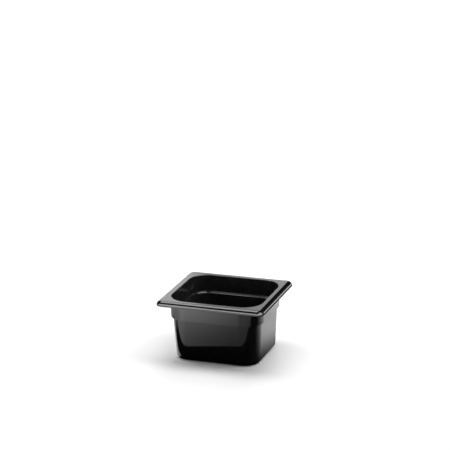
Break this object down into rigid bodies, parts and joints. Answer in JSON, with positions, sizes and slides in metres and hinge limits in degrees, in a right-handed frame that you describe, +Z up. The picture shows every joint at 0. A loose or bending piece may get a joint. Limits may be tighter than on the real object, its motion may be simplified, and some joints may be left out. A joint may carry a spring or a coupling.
{
  "type": "food pan",
  "caption": "Open rectangular deli food pan in black moulded plastic: flat turned-down rim, straight collar, stacking shoulder, tapered well. Hangs by its rim or stands on its base.",
  "frame": {"origin": "centre of the base, on the surface that the pan stands on", "axes": "+Z up, out of the open mouth; +X along the longer side of the rim; -Y towards the front long side"},
  "size_m": [0.176, 0.162, 0.1],
  "materials": {
    "black_polycarbonate": "glossy injection-moulded black polycarbonate with fine handling scratches"
  },
  "bodies": {
    "root": {"pan": "black_polycarbonate"}
  },
  "joints": []
}
